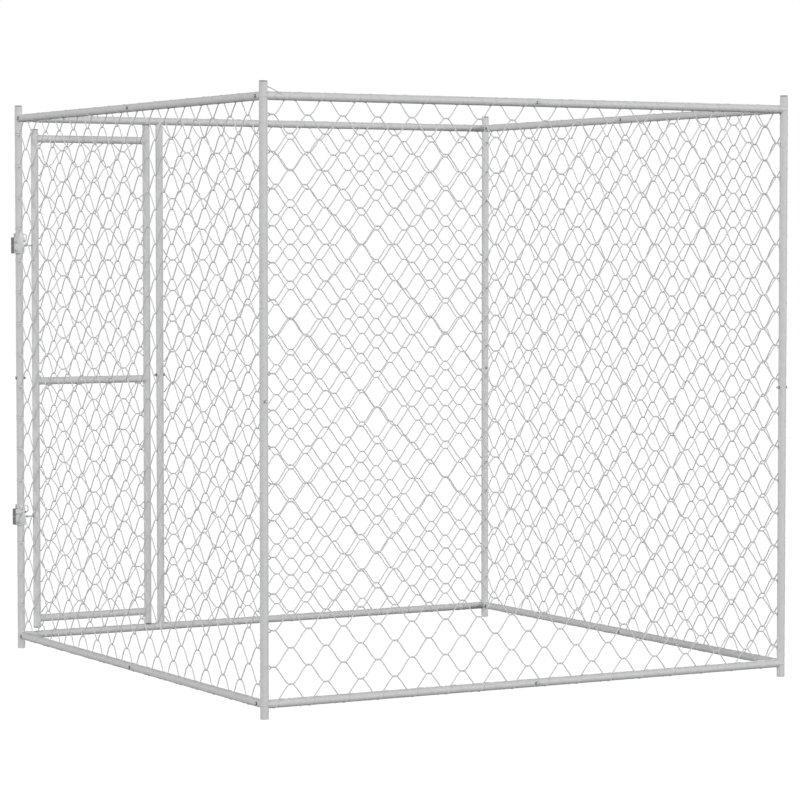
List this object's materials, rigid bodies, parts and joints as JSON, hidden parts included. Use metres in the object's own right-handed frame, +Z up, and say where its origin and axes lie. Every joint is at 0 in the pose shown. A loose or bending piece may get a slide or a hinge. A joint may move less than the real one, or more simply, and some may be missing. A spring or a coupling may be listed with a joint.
{
  "type": "outdoor dog kennel run",
  "caption": "Square open-topped outdoor dog run of round galvanised tube with chain-link walls and a narrow swing gate held by sliding-bolt latches.",
  "frame": {"origin": "on the ground, midway between the four corner posts", "axes": "+Z up; +X along the front wall, to the right of someone who looks from the front wall to the gate wall; +Y from the front wall to the wall with the gate"},
  "size_m": [2.0386, 2.0369, 2],
  "materials": {
    "galvanised_tube": "satin, hot-dip galvanised",
    "galvanised_wire": "satin, galvanised wire",
    "galvanised_sheet": "satin, galvanised sheet",
    "zinc_hardware": "zinc plated",
    "grey_cap": "matt",
    "dark_filler": "matt"
  },
  "bodies": {
    "kennel": {"front_left_post_lower": "galvanised_tube", "front_left_post_upper": "galvanised_tube", "front_right_post_lower": "galvanised_tube", "front_right_post_upper": "galvanised_tube", "back_right_post_lower": "galvanised_tube", "back_right_post_upper": "galvanised_tube", "back_left_post_lower": "galvanised_tube", "back_left_post_upper": "galvanised_tube", "gate_post_lower": "galvanised_tube", "gate_post_upper": "galvanised_tube", "front_lower_rail_left": "galvanised_tube", "front_lower_rail_right": "galvanised_tube", "front_upper_rail_left": "galvanised_tube", "front_upper_rail_right": "galvanised_tube", "right_lower_rail_front": "galvanised_tube", "right_lower_rail_back": "galvanised_tube", "right_upper_rail_front": "galvanised_tube", "right_upper_rail_back": "galvanised_tube", "back_lower_rail_right": "galvanised_tube", "back_lower_rail_left": "galvanised_tube", "back_upper_rail_right": "galvanised_tube", "back_upper_rail_left": "galvanised_tube", "left_lower_rail_back": "galvanised_tube", "left_lower_rail_front": "galvanised_tube", "left_upper_rail_back": "galvanised_tube", "left_upper_rail_front": "galvanised_tube", "front_mesh": "galvanised_wire", "right_mesh": "galvanised_wire", "back_mesh": "galvanised_wire", "left_mesh": "galvanised_wire", "rail_spigots": "galvanised_tube", "post_caps": "grey_cap", "post_joint_bolts": "zinc_hardware", "post_joint_nuts": "zinc_hardware", "rail_joint_bolts": "zinc_hardware", "rail_joint_nuts": "zinc_hardware", "rail_end_bolts": "zinc_hardware", "rail_end_nuts": "zinc_hardware", "lower_latch_clamp": "galvanised_sheet", "upper_latch_clamp": "galvanised_sheet", "latch_spacers": "dark_filler", "latch_loops": "galvanised_wire", "loop_collars": "dark_filler", "latch_clamp_bolts": "zinc_hardware", "latch_clamp_nuts": "zinc_hardware"},
    "gate": {"gate_hinge_stile": "galvanised_tube", "gate_latch_stile": "galvanised_tube", "gate_lower_rail": "galvanised_tube", "gate_middle_rail": "galvanised_tube", "gate_upper_rail": "galvanised_tube", "gate_mesh": "galvanised_wire", "gate_stile_caps": "grey_cap", "gate_lower_pivot": "zinc_hardware", "gate_upper_pivot": "zinc_hardware"},
    "upper_latch": {"upper_latch_bolt": "galvanised_tube"},
    "lower_latch": {"lower_latch_bolt": "galvanised_tube"}
  },
  "joints": [
    {"name": "gate_swing", "type": "hinge", "parent": "kennel", "child": "gate", "pos_m": [-0.4845, 0.9975, 1], "axis": [0, 0, -1], "range_deg": [-140, 140]},
    {"name": "upper_latch_slide", "type": "slide", "parent": "kennel", "child": "upper_latch", "axis": [1, 0, 0], "range_m": [0, 0.011]},
    {"name": "lower_latch_slide", "type": "slide", "parent": "kennel", "child": "lower_latch", "axis": [1, 0, 0], "range_m": [0, 0.011]}
  ]
}
